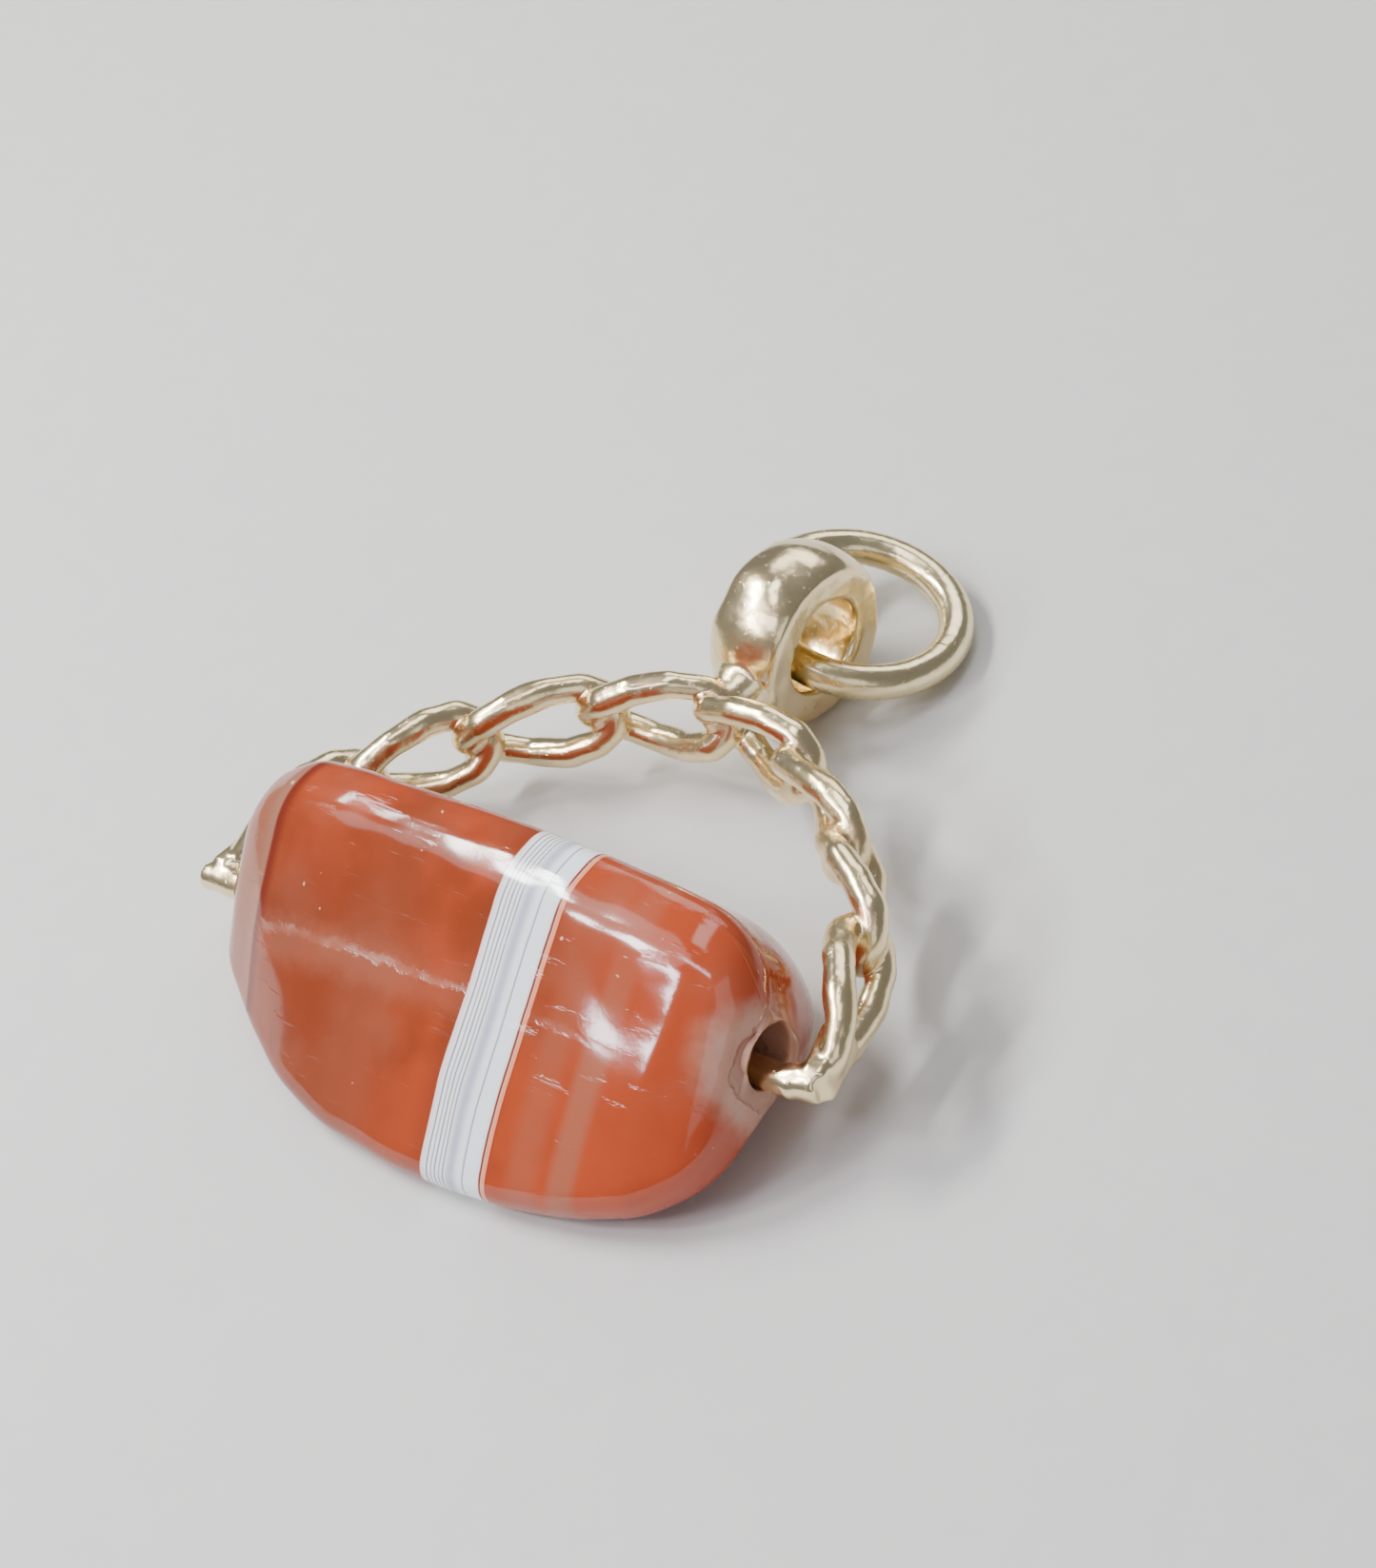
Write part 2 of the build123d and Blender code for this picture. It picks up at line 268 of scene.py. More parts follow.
# %% Smooth curves through the table
def smooth_through(places, rows, at):
    """Hermite curves through the rows: each row's slope is the harmonic mean of the slopes beside it, so that
    nothing swings past the rows."""
    steps = np.diff(places)[:, None]
    slopes = np.diff(rows, axis=0) / steps
    product = slopes[:-1] * slopes[1:]
    total = slopes[:-1] + slopes[1:]
    inner = np.where(product > 1e-9, 2 * product / np.where(np.abs(total) < 1e-9, 1, total), 0.0)
    tangents = np.concatenate([slopes[:1], inner, slopes[-1:]])
    left = np.clip(np.searchsorted(places, at, side="right") - 1, 0, len(places) - 2)
    h = steps[left]
    t = (at[:, None] - places[left][:, None]) / h
    start = (1 + 2 * t) * (1 - t) ** 2 * rows[left] + t * (1 - t) ** 2 * h * tangents[left]
    return start + t**2 * (3 - 2 * t) * rows[left + 1] + t**2 * (t - 1) * h * tangents[left + 1]


def softened(values, times, around):
    """A quarter of each neighbour and a half of the value itself, a few times over. The neighbours are those round
    the section or those along the stone."""
    for _ in range(times):
        if around:
            values = 0.25 * np.roll(values, 1, axis=1) + 0.5 * values + 0.25 * np.roll(values, -1, axis=1)
        else:
            inner = 0.25 * values[:-2] + 0.5 * values[1:-1] + 0.25 * values[2:]
            values = np.concatenate([values[:1], inner, values[-1:]])
    return values


sampled = smooth_through(SECTIONS[:, 0], SECTIONS[:, 1:], np.array([-0.5, 0.5]))
print("shares at a quarter and at three quarters of the length", sampled.round(2).tolist())


# %% Corners of the sections
def bulged(low, high, bulge):
    """The middle between two corners, moved by the bulge to the left of the way from low to high."""
    run = high - low
    length = np.linalg.norm(run, axis=1, keepdims=True)
    return (low + high) / 2 + np.stack([-run[:, 1], run[:, 0]], 1) / length * bulge[:, None]


def section_corners(place, front, ridge, back, deeper):
    """The six corners of each section: each corner's offset from the hole times its share, with the lower two a
    little deeper, and the two bulged sides' middles. The hole climbs to the right with the pin's tilt."""
    climb = place * STONE_LENGTH / 2 * np.tan(PIN_TILT)
    hole = np.stack([np.full(len(place), HOLE_MIDDLE[0]), HOLE_MIDDLE[1] + climb], 1)
    ridge_front_place = (RIDGE_BACK - RIDGE_WIDTH, STONE_HEIGHT - RIDGE_SLOPE)
    front_corner = hole + ((-FRONT_REACH, -FLAT_DEPTH) - HOLE_MIDDLE) * np.stack([front, front + deeper], 1)
    back_corner = hole + ((BACK_REACH, -FLAT_DEPTH) - HOLE_MIDDLE) * np.stack([back, back + deeper], 1)
    ridge_back = hole + ((RIDGE_BACK, STONE_HEIGHT) - HOLE_MIDDLE) * ridge[:, None]
    ridge_front = hole + (ridge_front_place - HOLE_MIDDLE) * ridge[:, None]
    slope = bulged(front_corner, ridge_front, SLOPE_BULGE * (front + ridge) / 2)
    back_middle = bulged(ridge_back, back_corner, BACK_BULGE * (ridge + back) / 2)
    return np.stack([front_corner, back_corner, back_middle, ridge_back, ridge_front, slope], 1), hole


middle_corners, _ = section_corners(*np.array([[0.0], [1.0], [1.0], [1.0], [0.0]]))
print("middle section's corners", middle_corners[0].round(2).tolist())

# %% Rounded sections
ARC_POINTS = 24


def corner_arcs(corners, radii):
    """Polygons with rounded corners. Each corner is an arc whose middle lies on the line that halves the corner, at
    radius over the sine of the half angle, and whose ends lie on the sides, at radius over its tangent."""
    before = np.roll(corners, 1, axis=1) - corners
    after = np.roll(corners, -1, axis=1) - corners
    before /= np.linalg.norm(before, axis=2, keepdims=True)
    after /= np.linalg.norm(after, axis=2, keepdims=True)
    half = np.arccos(np.clip((before * after).sum(2), -1, 1)) / 2
    inward = before + after
    inward /= np.linalg.norm(inward, axis=2, keepdims=True)
    middle = corners + inward * (radii / np.sin(half))[..., None]
    reach = (radii / np.tan(half))[..., None]
    start = corners + before * reach - middle
    end = corners + after * reach - middle
    angle = np.arctan2(start[..., 1], start[..., 0])
    sweep = (np.arctan2(end[..., 1], end[..., 0]) - angle + pi) % (2 * pi) - pi
    angles = angle[..., None] + sweep[..., None] * np.linspace(0, 1, ARC_POINTS)
    arcs = middle[:, :, None, :] + radii[..., None, None] * np.stack([np.cos(angles), np.sin(angles)], -1)
    return arcs.reshape(len(corners), -1, 2)


def evenly_spaced(outlines, count):
    """The same closed outlines with count points each, an even length of line apart."""
    closed = np.concatenate([outlines, outlines[:, :1]], axis=1)
    steps = np.linalg.norm(np.diff(closed, axis=1), axis=2)
    runs = np.concatenate([np.zeros((len(outlines), 1)), np.cumsum(steps, 1)], 1)
    share = np.linspace(0, 1, count, endpoint=False)
    result = np.empty((len(outlines), count, 2))
    for row, (run, line) in enumerate(zip(runs, closed)):
        result[row, :, 0] = np.interp(share * run[-1], run, line[:, 0])
        result[row, :, 1] = np.interp(share * run[-1], run, line[:, 1])
    return result


middle_outline = corner_arcs(middle_corners, CORNER_RADII[None])[0]
print("middle section is", np.ptp(middle_outline, axis=0).round(2).tolist(), "millimetres deep and high")

# %% Swells left by handwork
WAVES = 6
WAVES_LEVEL = 2.45  # about the root of the number of waves, which brings their sum near -1 to 1


def swell(points, length, seed):
    """A smooth wavering number at each point, about -1 to 1: six sine waves of about that length in directions
    drawn from a seeded generator."""
    draw = np.random.default_rng(seed)
    directions = draw.normal(size=(WAVES, 3))
    directions /= np.linalg.norm(directions, axis=1, keepdims=True)
    waves = 2 * pi / (length * draw.uniform(0.7, 1.5, WAVES))
    phases = points @ (directions * waves[:, None]).T + draw.uniform(0, 2 * pi, WAVES)
    return np.sin(phases).sum(-1) / WAVES_LEVEL


print("each swell adds", WAVES, "waves")

# %% Outside of the stone
ALONG_ROUNDS, AROUND_ROUNDS = 4, 8  # rounds of softening, along the stone and round each section
LARGEST_PULL = 0.25  # of the way to the hole, so that the rounding at the ends folds nothing over
HAND_CUT = ((0.035, 7.0, 4), (0.012, 2.6, 5))  # each swell's size and length in millimetres, and its seed
HAND_CUT_LOSS = 0.02  # taken off all round


def stone_outside(place, around):
    """One section for each place: the rounded polygon of its corners, softened, drawn in at the ends by half of
    what a quarter circle would take, and moved by the swells that handwork leaves. The flat side is cut at the
    table. The hole's middle at each place is returned too."""
    shares = smooth_through(SECTIONS[:, 0], SECTIONS[:, 1:], place)
    front, ridge, back, deeper, roundness = softened(shares, ALONG_ROUNDS, around=False).T
    corners, hole = section_corners(place, front, ridge, back, deeper)
    scale = np.stack([front, back, (ridge + back) / 2, ridge, ridge, (front + ridge) / 2], 1)
    outlines = corner_arcs(corners, CORNER_RADII * scale * roundness[:, None])
    sections = softened(evenly_spaced(outlines, around), AROUND_ROUNDS, around=True)
    x = place * (STONE_LENGTH / 2 - END_DOME)
    distance = x[-1] - np.abs(x)
    drop = np.where(distance < END_ROUNDING, END_ROUNDING - distance, 0.0)
    pulled = 0.5 * (END_ROUNDING - np.sqrt(np.maximum(END_ROUNDING**2 - drop**2, 0.0)))
    offset = sections - hole[:, None]
    reach = np.linalg.norm(offset, axis=2, keepdims=True)
    sections = hole[:, None] + offset * (1 - np.minimum(pulled[:, None, None] / reach, LARGEST_PULL))
    outside = np.concatenate([np.repeat(x[:, None], around, 1)[..., None], sections], axis=2)
    hand_cut = sum(size * swell(outside, length, seed) for size, length, seed in HAND_CUT) - HAND_CUT_LOSS
    outside[..., 1:] += offset / reach * hand_cut[..., None]
    outside[..., 2] = np.maximum(outside[..., 2], 0.0)
    return outside, hole


print("hand cutting adds", len(HAND_CUT), "swells")

# %% Ends of the stone and its bore
END_SHARES = (0.2, 0.4, 0.6, 0.8, 1.0)  # of the way from the outside to the lip of the hole
LIP = 0.05  # by which the lip is wider than the hole
CHIP_SIZE, CHIP_LENGTH = 0.07, 0.9  # of the swell that chips the lip
CHIP_CIRCLE = 1.2  # radius at which the swell is read, so that it closes round the hole
CHIP_LEAST = -0.4  # of its size, where the lip stands in instead of out
# Columns: how much wider than the hole, how deep below the end, and how ragged
BORE_ROWS = (
    (0.01, 0.03, 1.0),
    (0.00, 0.15, 0.5),
    (0.00, 0.50, 0.0),
    (0.00, 2.50, 0.0),
    (0.00, 6.00, 0.0),
)


def stone_end(edge, middle, side, seed):
    """Rows from the edge of one end to far inside the bore. The end domes out as a parabola to the lip of the
    hole, and the bore is a row of circles, a little ragged where the drill broke out. side is -1 or 1."""
    offset = edge[:, 1:] - middle
    turn = np.arctan2(offset[:, 1], offset[:, 0])
    circle = np.stack([np.cos(turn), np.sin(turn)], -1)
    on_circle = np.concatenate([circle * CHIP_CIRCLE, circle[:, :1] * 0], 1)
    chips = CHIP_SIZE * np.maximum(swell(on_circle, CHIP_LENGTH, seed), CHIP_LEAST)
    lip = middle + circle * (STONE_HOLE / 2 + LIP + chips)[:, None]
    rows = []
    for share in END_SHARES:
        x = edge[:, :1] + side * END_DOME * (1 - (1 - share) ** 2)
        rows.append(np.concatenate([x, edge[:, 1:] * (1 - share) + lip * share], axis=1))
    for wider, depth, ragged in BORE_ROWS:
        x = side * (STONE_LENGTH / 2 - depth)
        bore_middle = (HOLE_MIDDLE[0], HOLE_MIDDLE[1] + x * np.tan(PIN_TILT))
        ring = bore_middle + circle * (STONE_HOLE / 2 + wider + chips * ragged)[:, None]
        rows.append(np.concatenate([np.full((len(edge), 1), x), ring], axis=1))
    return np.stack(rows)


print("each end has", len(END_SHARES) + len(BORE_ROWS), "rows of points")


# %% Stone mesh
def stone_grid(around=288, along=200):
    """The outside from left to right, the right end into the bore, and the left end from the bore back out. The
    outside's stations run over the length by a cosine, closer together at the ends."""
    outside, hole = stone_outside(-np.cos(np.linspace(0, pi, along)), around)
    right_end = stone_end(outside[-1], hole[-1], 1, 6)
    left_end = stone_end(outside[0], hole[0], -1, 7)
    return np.concatenate([outside, right_end, left_end[::-1]])


def closed_mesh(name, grid):
    """A mesh from a grid that closes on itself both ways. Each quad joins a point with its neighbours round the
    section and along the rows."""
    rows, columns = grid.shape[:2]
    index = np.arange(rows * columns).reshape(rows, columns)
    right = np.roll(index, -1, axis=1)
    quads = np.stack([index, right, np.roll(right, -1, axis=0), np.roll(index, -1, axis=0)], -1).reshape(-1, 4)
    mesh = bpy.data.meshes.new(name)
    mesh.from_pydata((grid.reshape(-1, 3) * MM).tolist(), [], quads.tolist())
    mesh.update()
    mesh.shade_smooth()
    return mesh


def shown(name, mesh, body):
    """Puts a mesh into the scene as a piece that moves with a body of the model."""
    piece = bpy.data.objects.new(name, mesh)
    bpy.context.scene.collection.objects.link(piece)
    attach(piece, body)
    return piece


def enclosed_volume(mesh):
    """A third of the sum of each face's centre times its normal times its area. It is below 0 where the faces point
    inwards."""
    count = len(mesh.polygons)
    centres, normals, areas = np.empty(count * 3), np.empty(count * 3), np.empty(count)
    mesh.polygons.foreach_get("center", centres)
    mesh.polygons.foreach_get("normal", normals)
    mesh.polygons.foreach_get("area", areas)
    return (centres * normals).reshape(-1, 3).sum(1) @ areas / 3


stone_mesh = closed_mesh("polished_agate", stone_grid())
volume = enclosed_volume(stone_mesh)
if volume < 0:
    stone_mesh.flip_normals()
stone = shown("polished_agate", stone_mesh, "stone")
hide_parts("banded_stone")
print("stone:", len(stone_mesh.polygons), "faces, volume", round(abs(volume) / MM**3, 1), "cubic millimetres")

# %% [markdown]
# ## The agate's finish
#
# Carnelian agate grows in layers. Here they lie square to the drilling: a white band of fine grey lines right of
# the middle, a dark red line close to the left end with a paler cap beyond it, and soft pinkish bands. A flat
# picture wrapped round the stone would stretch at its ends. So each layer is a mask on the distance along the pin,
# and goes through the stone as the real ones do. Cloudy noise bends it a little, because no layer is quite flat.

# %% Agate
ORANGE = (0.250, 0.040, 0.011)
BRIGHT = (0.470, 0.066, 0.020)
BROWN = (0.165, 0.035, 0.014)
PINK_GREY = (0.36, 0.130, 0.077)
LEAN = 0.028  # of the layers, to the right for each millimetre of height
SKEW = 0.02  # of the layers, to the right for each millimetre towards the back
LEAN_FROM = 4.0  # the height at which a layer's place is counted

agate = Finish("agate")
wander = (agate.noise(0.16, 1.0, 0.4) - 0.5) * 0.5 + (agate.noise(1.1, 2.0, 0.5) - 0.5) * 0.05
layer = agate.x + wander - LEAN * (agate.z - LEAN_FROM) - SKEW * agate.y

clouds = agate.ramp(agate.noise(0.25, 3.0, 0.55, shift=(3.0, 1.0, 0.0)), 0.38, 0.62)
body_colour = agate.blend(clouds * 0.6, ORANGE, BRIGHT)
body_colour = agate.blend(agate.ramp(agate.x, 3.0, 7.0) * 0.65, body_colour, BRIGHT)
left_shade = agate.ramp(agate.x, 1.5, -4.5) * agate.ramp(agate.y, 1.5, -2.0)
body_colour = agate.blend(left_shade * (0.35 + clouds * 0.5), body_colour, BROWN)
murk = agate.ramp(agate.noise(0.35, 2.0, 0.5, shift=(0.0, 7.0, 2.0)), 0.45, 0.75)
body_colour = agate.blend(murk * 0.22, body_colour, PINK_GREY)
print("agate's body takes", len(agate.tree.nodes), "nodes")

# %% Soft bands
# Columns: place along the stone, half width and soft edge in millimetres, and strength
SOFT_BANDS = ((5.05, 0.15, 0.70, 0.30), (6.45, 0.22, 0.42, 0.62), (-2.6, 0.4, 1.6, 0.15))
fading_up = agate.ramp(agate.z, 7.5, 4.5) * 0.6 + 0.4
for middle, half_width, soft, strength in SOFT_BANDS:
    share = agate.line(layer, middle, half_width, soft) * fading_up * strength
    body_colour = agate.blend(share, body_colour, PINK_GREY)
print("soft bands:", len(SOFT_BANDS))

# %% White band
# across runs from 0 at the band's left edge to 1 at its right edge
BAND_LEFT = 1.28
BAND_WIDTH = 2.54
WHITE = (0.93, 0.94, 0.97)
ICE = (0.84, 0.90, 0.96)
ROSE_WHITE = (0.88, 0.74, 0.74)
SLATE = (0.36, 0.40, 0.53)
across = (layer - BAND_LEFT) / BAND_WIDTH
band = agate.blend(agate.ramp(across, 0.30, 0.75), WHITE, ICE)
band = agate.blend(agate.ramp(across, 0.10, 0.02), band, ROSE_WHITE)
band = agate.blend(agate.ramp(across, 0.84, 0.91), band, ROSE_WHITE)
stripe = agate.ramp(across, 0.33, 0.46) * agate.ramp(across, 0.60, 0.47)
band = agate.blend(stripe * 0.8, band, SLATE)
print("white band from", BAND_LEFT, "to", round(BAND_LEFT + BAND_WIDTH, 2), "millimetres")

# %% Lines of the white band
LINE_GREY = (0.16, 0.18, 0.24)
THIN_RED = (0.22, 0.05, 0.03)
RIGHT_EDGE = (0.86, 0.30, 0.16)
SEAM_RED = (0.30, 0.035, 0.012)
# Columns: place across the band, and strength
LINES = ((0.100, 0.9), (0.170, 0.7), (0.232, 0.85), (0.295, 0.7), (0.352, 0.8), (0.655, 0.75))
for middle, strength in LINES:
    band = agate.blend(agate.line(across, middle, 0.006, 0.012) * strength, band, LINE_GREY)
band = agate.blend(agate.line(across, 0.916, 0.012, 0.010), band, THIN_RED)
band = agate.blend(agate.ramp(across, 0.930, 0.945), band, RIGHT_EDGE)
in_band = agate.ramp(across, -0.012, 0.004) * agate.ramp(across, 1.0, 0.985)
body_colour = agate.blend(agate.line(across, 1.0, 0.004, 0.022) * 0.7, body_colour, SEAM_RED)
left_of_band = agate.ramp(across, -0.35, -0.01) * agate.ramp(across, 0.05, 0.0)
body_colour = agate.blend(left_of_band * 0.35, body_colour, BROWN)
agate_colour = agate.blend(in_band, body_colour, band)
print("grey lines:", len(LINES))

# %% Left cap
CAP = (0.27, 0.095, 0.052)
CAP_PALE = (0.30, 0.125, 0.080)
DARK_RED = (0.14, 0.016, 0.007)
cap_edge = layer - 0.12 * agate.y * agate.ramp(agate.y, 0.0, 3.0)
cap_colour = agate.blend(agate.ramp(cap_edge, -8.9, -8.2), CAP, CAP_PALE)
agate_colour = agate.blend(agate.ramp(cap_edge, -8.02, -8.16), agate_colour, cap_colour)
dark_line = agate.ramp(cap_edge, -8.22, -8.08) * agate.ramp(cap_edge, -7.55, -8.0)
agate_colour = agate.blend(dark_line * 0.9, agate_colour, DARK_RED)
print("with the cap", len(agate.tree.nodes), "nodes")

# %% Crack
# It runs along the front slope below the ridge, ragged and broken, and fades towards the right end.
CRACK_HAZE = (0.50, 0.20, 0.13)
CRACK_LINE = (0.72, 0.40, 0.32)
crack_run = agate.ramp(agate.x, -8.2, -7.4) * agate.ramp(agate.x, 8.4, -3.0)
ragged = (agate.noise(1.6, 4.0, 0.7) - 0.5) * 0.55
patchy = agate.ramp(agate.noise(0.9, 2.0, 0.5, shift=(2.0, 4.0, 1.0)), 0.3, 0.6) * 0.75 + 0.25
upper = agate.ramp(agate.z, 3.0, 4.0) * crack_run * (1.0 - in_band * 0.8)
crack_line = agate.line(agate.y + ragged, -2.12, 0.02, 0.14) * upper * patchy
crack_haze = agate.line(agate.y + ragged, -2.35, 0.1, 0.75) * upper
agate_colour = agate.blend(crack_haze * 0.20, agate_colour, CRACK_HAZE)
agate_colour = agate.blend(crack_line * 0.20, agate_colour, CRACK_LINE)
print("with the crack", len(agate.tree.nodes), "nodes")

# %% Pale patch at the hole
# hole_far is 0 near the middle of the right end's hole and 1 on an oval round it, with a ragged edge.
PATCH = (0.52, 0.31, 0.23)
CHIP = (0.26, 0.15, 0.11)
OVAL_HALF_WIDTH, OVAL_HALF_HEIGHT = 1.45, 1.75
OVAL_MIDDLE = 3.6  # its height above the table
hole_y = agate.y / OVAL_HALF_WIDTH
hole_z = (agate.z - OVAL_MIDDLE) / OVAL_HALF_HEIGHT
hole_far = (hole_y * hole_y + hole_z * hole_z).root() + (agate.noise(0.9, 3.0, 0.6) - 0.5) * 0.5
near_right = agate.ramp(agate.x, 8.6, 9.6)
patch = agate.ramp(hole_far, 1.55, 0.95) * near_right
agate_colour = agate.blend(patch * 0.8, agate_colour, PATCH)
chip = agate.ramp(hole_far, 0.84, 0.76) * near_right
agate_colour = agate.blend(chip * 0.4, agate_colour, CHIP)
print("with the patch", len(agate.tree.nodes), "nodes")

# %% Polish
SPECK = (0.85, 0.50, 0.40)
specks = agate.ramp(agate.noise(2.4, 1.0, 0.5, shift=(5.0, 2.0, 8.0)), 0.775, 0.80)
agate_colour = agate.blend(specks * 0.7, agate_colour, SPECK)
scuffs = agate.ramp(agate.noise(1.3, 4.0, 0.65, stretch=(3.5, 0.5, 0.5)), 0.58, 0.72)
ripple = agate.noise(0.55, 2.0, 0.5, stretch=(1.6, 1.0, 1.0))
grain = agate.noise(9.0, 2.0, 0.6)
height = ripple * 0.022 + scuffs * 0.006 + grain * 0.001 - crack_line * 0.02 - chip * 0.05
agate.set(
    Base_Color=agate_colour,
    Roughness=0.09 + scuffs * 0.14 + crack_line * 0.25 + chip * 0.4,
    Normal=agate.bump(height),
    IOR=1.54,
    Subsurface_Weight=0.15,
    Subsurface_Radius=(1.0, 0.35, 0.2),
    Subsurface_Scale=0.8 * MM,
)
stone.data.materials.append(agate.material)
print("agate:", len(agate.tree.nodes), "nodes in all")

# %% [markdown]
# ## The gold
#
# The arch, its bead and the ring are pale gold that has been worn for a long time: bright on the outside of every
# curve, dull and coppery where solder fills a joint, and covered with hair scratches. The arch is one soldered
# piece. Its wires could be swept again as curves, but their joints would stay creased. So its mesh is a fused copy
# of the solid: a voxel remesh melts the creases between the wires into the soft fillets that solder leaves.

# %% Arch mesh
WELD_REACH = 0.002
VOXEL = 0.085
RELAXING_ROUNDS = 5


def fused_copy(node, name, voxel, smoothing):
    """A copy of a solid, merged, remeshed into small even faces and relaxed, so that creases turn into fillets."""
    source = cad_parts[node]
    piece = bpy.data.objects.new(name, source.data.copy())
    piece.data.materials.clear()
    bpy.context.scene.collection.objects.link(piece)
    bpy.context.view_layer.objects.active = piece
    piece.select_set(True)
    weld = piece.modifiers.new("weld", "WELD")
    weld.merge_threshold = WELD_REACH * MM
    bpy.ops.object.modifier_apply(modifier=weld.name)
    remesh = piece.modifiers.new("remesh", "REMESH")
    remesh.mode = "VOXEL"
    remesh.voxel_size = voxel * MM
    remesh.use_smooth_shade = True
    bpy.ops.object.modifier_apply(modifier=remesh.name)
    relax = piece.modifiers.new("relax", "SMOOTH")
    relax.factor = 0.5
    relax.iterations = smoothing
    bpy.ops.object.modifier_apply(modifier=relax.name)
    piece.select_set(False)
    return piece


arch = fused_copy("arch_frame", "soldered_arch", VOXEL, RELAXING_ROUNDS)
print("arch:", len(arch.data.polygons), "faces")

# %% Hand work on the arch
LINK_SWELL = 0.07
LINK_ZONE = (1.4, 13.2)  # along Y, between the pin's feet and the bead
WIRE_SWELLS = ((0.035, 3.5, 11), (0.022, 1.6, 12), (0.010, 0.9, 13))  # size, length and seed


def worked_by_hand(piece, parts):
    """Moves each vertex along its normal: by LINK_SWELL in the links, where solder filled the wires out, and by a
    few smooth swells, so that no wire keeps one thickness. parts lists each swell's size and length in
    millimetres, and its seed."""
    count = len(piece.data.vertices)
    points = np.empty(count * 3)
    normals = np.empty(count * 3)
    piece.data.vertices.foreach_get("co", points)
    piece.data.vertices.foreach_get("normal", normals)
    points = points.reshape(-1, 3) / MM
    moved = sum(size * swell(points, length, seed) for size, length, seed in parts)
    low, high = LINK_ZONE
    in_links = np.clip(points[:, 1] - low, 0.0, 1.0) * np.clip(high - points[:, 1], 0.0, 1.0)
    moved = moved + LINK_SWELL * in_links
    points = points + normals.reshape(-1, 3) * moved[:, None]
    piece.data.vertices.foreach_set("co", (points * MM).ravel())
    piece.data.update()


worked_by_hand(arch, WIRE_SWELLS)
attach(arch, "frame")
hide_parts("arch_frame")
print("links stand out by", LINK_SWELL, "millimetres more")

# %% Joints of the arch
# Places of the soldered joints on the right half, across from the middle and along from the pin
ARCH_HALF_SPAN, ARCH_RISE = 12.3, 12.3
JOINT_SHARES = ((0.000, 1.000), (0.336, 0.902), (0.628, 0.697), (0.850, 0.447))
JOINTS = np.array(JOINT_SHARES) * (ARCH_HALF_SPAN, ARCH_RISE)

# %% Gold
WORN_SHARES = (0.84, 0.80, 0.66)  # of the tint's red, green and blue, where the gold is worn dull
COPPER = (0.70, 0.38, 0.22)
PIT = (0.34, 0.23, 0.12)
JOINT_SQUASH = 0.55  # of the height over the pin, so that a joint's stain is taller than wide


def joint_stain(gold, across, along):
    """1 near a joint and its mirror image on the left, and 0 further off, with a cloudy edge."""
    height = (gold.z - gold.x * np.tan(PIN_TILT) - PIN_HEIGHT) * JOINT_SQUASH
    from_joint = gold.node("ShaderNodeCombineXYZ", {}, [gold.x.size() - across, gold.y - along, height])[0]
    far = gold.node("ShaderNodeVectorMath", {"operation": "LENGTH"}, [from_joint])[1]
    far = far + (gold.noise(1.4, 2.0, 0.5, shift=(across, 0.0, 0.0)) - 0.5) * 0.9
    return gold.ramp(far, 0.95, 0.40)


def gold_finish(name, tint, joints):
    """Metal whose colour turns coppery near the soldered joints and dull in cloudy patches."""
    gold = Finish(name)
    worn = gold.ramp(gold.noise(0.55, 3.0, 0.55), 0.38, 0.66)
    worn_tint = tuple(value * share for value, share in zip(tint, WORN_SHARES))
    colour = gold.blend(worn * 0.55, tint, worn_tint)
    dull = 0.0
    for across, along in joints.tolist():
        stain = joint_stain(gold, across, along)
        colour = gold.blend(stain * 0.5, colour, COPPER)
        dull = stain * 0.08 + dull
    pits = gold.ramp(gold.noise(4.0, 3.0, 0.6), 0.63, 0.74)
    colour = gold.blend(pits * 0.30, colour, PIT)
    scratch = gold.ramp(gold.noise(2.2, 4.0, 0.7, stretch=(2.5, 0.4, 0.4)), 0.58, 0.72)
    dents = gold.noise(1.0, 2.0, 0.5)
    height = dents * 0.05 + scratch * 0.002 - pits * 0.006 + gold.noise(12.0, 2.0, 0.6) * 0.0010
    gold.set(
        Base_Color=colour,
        Metallic=1.0,
        Roughness=0.20 + worn * 0.06 + pits * 0.12 + scratch * 0.06 + dull,
        Normal=gold.bump(height),
    )
    print(name, "takes", len(gold.tree.nodes), "nodes")
    return gold.material


arch.data.materials.append(gold_finish("gold", (0.93, 0.77, 0.47), JOINTS))

# %% Ring
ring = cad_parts["jump_ring"]
ring.data.materials.clear()
ring.data.materials.append(gold_finish("ring_gold", (0.91, 0.78, 0.49), JOINTS[:0]))

# %% [markdown]
# ## Table and light
#
# Polished gold and stone show what is round them, so the lamps are as much a part of their look as their colours
# are. One sun or one large lamp would give a single flat shine. Here a narrow window and a curtain hang high on the
# left, three roof lights in front with a wide dim ceiling beside them, a skylight above, a large window behind and
# a weak fill on the right. They hang where their mirror images on the stone and the gold fall about as in the
# picture. The room is mid grey, which leaves dark edges on the gold, and the table is plain and pale.

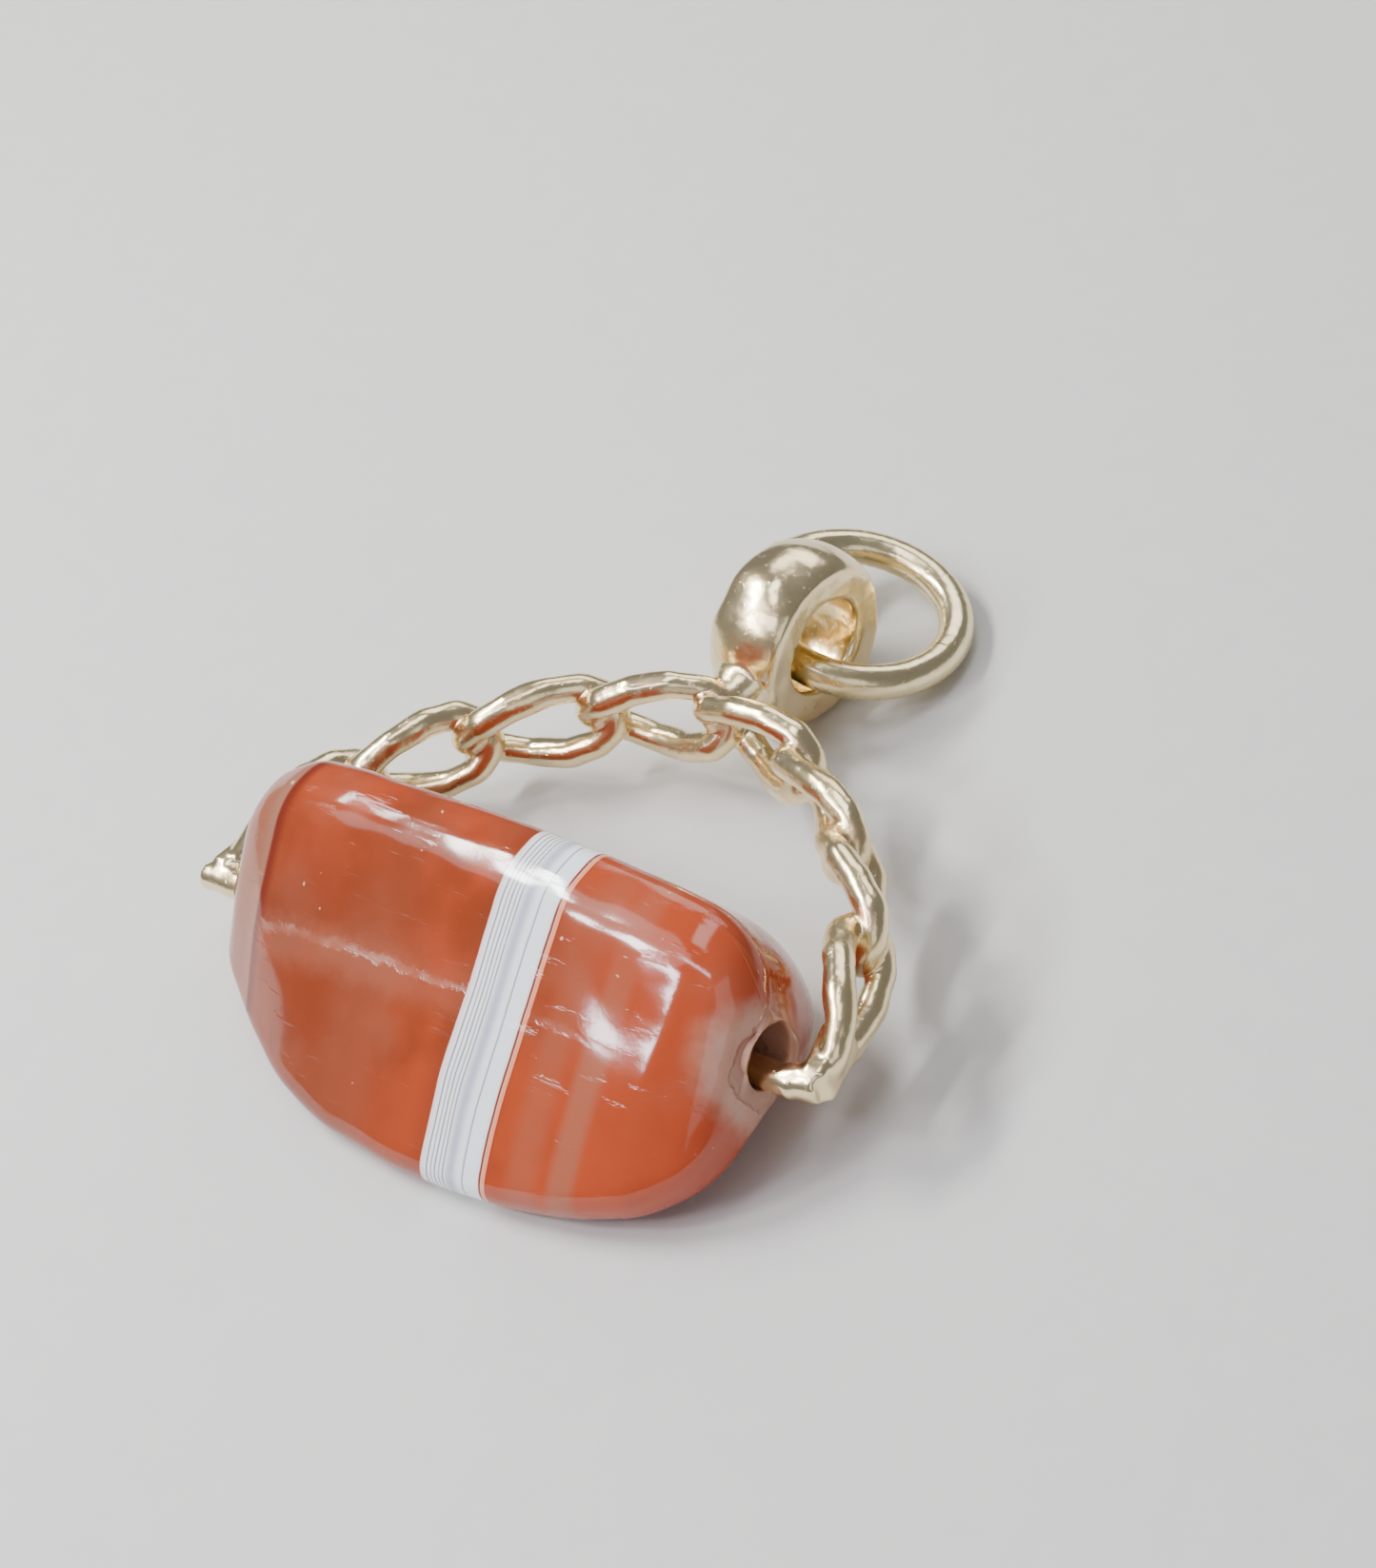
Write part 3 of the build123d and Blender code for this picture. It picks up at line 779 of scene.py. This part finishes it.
# %% Table
TABLE_HALF = 2.0  # metres, far past what the camera sees
TABLE_CORNERS = np.array([(-1, -1, 0), (1, -1, 0), (1, 1, 0), (-1, 1, 0)]) * TABLE_HALF
table_mesh = bpy.data.meshes.new("table")
table_mesh.from_pydata(TABLE_CORNERS.tolist(), [], [(0, 1, 2, 3)])
table = bpy.data.objects.new("table", table_mesh)
bpy.context.scene.collection.objects.link(table)
paper = Finish("table")
fleck = paper.noise(0.7, 3.0, 0.6)
paper.set(Base_Color=paper.blend(fleck, (0.64, 0.64, 0.63), (0.69, 0.69, 0.67)), Roughness=0.75)
table_mesh.materials.append(paper.material)
print("table is", 2 * TABLE_HALF, "metres wide")


# %% Lamps
def lamp(name, place, towards, size, power, colour):
    """A four-sided lamp of a size and at a place in millimetres, facing a point."""
    light = bpy.data.lights.new(name, "AREA")
    light.shape = "RECTANGLE"
    light.size = size[0] * MM
    light.size_y = size[1] * MM
    light.energy = power
    light.color = colour
    made = bpy.data.objects.new(name, light)
    facing = (Vector(towards) - Vector(place)).normalized()
    made.rotation_euler = facing.to_track_quat("-Z", "Y").to_euler()
    made.location = Vector(place) * MM
    bpy.context.scene.collection.objects.link(made)


# Columns: name, place, the point that it faces, size, power in watts and colour
LAMPS = (
    ("window", (-112, -16, 160), (2, 1, 7), (88, 15), 0.36, (1.0, 0.99, 0.97)),
    ("curtain", (-138, 28, 144), (-3, 1, 7), (44, 9), 0.05, (1.0, 0.97, 0.93)),
    ("roof light", (-84, -101, 142), (7, 0, 6), (24, 24), 0.11, (0.98, 0.97, 1.0)),
    ("lower roof light", (-56, -134, 128), (7, 0, 6), (42, 12), 0.08, (0.98, 0.93, 1.0)),
    ("second roof light", (0, -104, 164), (7, 0, 6), (100, 10), 0.05, (0.93, 0.82, 1.0)),
    ("ceiling", (-84, -70, 162), (0, 10, 5), (150, 80), 0.10, (1.0, 0.99, 0.98)),
    ("skylight", (0, 24, 195), (0, 8, 4), (44, 130), 0.085, (1.0, 1.0, 1.0)),
    ("back window", (-60, 215, 185), (0, 6, 3), (190, 120), 0.22, (1.0, 0.98, 0.95)),
    ("fill", (190, -150, 150), (0, 6, 2), (160, 160), 0.09, (0.94, 0.97, 1.0)),
)
for row in LAMPS:
    lamp(*row)
print("lamps:", len(LAMPS), "of", round(sum(row[4] for row in LAMPS), 3), "watts together")

# %% Room
ROOM_GREY = (0.52, 0.53, 0.55, 1.0)
ROOM_STRENGTH = 0.42
world = bpy.data.worlds.new("room")
world.use_nodes = True
room = world.node_tree.nodes["Background"]
room.inputs["Color"].default_value = ROOM_GREY
room.inputs["Strength"].default_value = ROOM_STRENGTH
bpy.context.scene.world = world
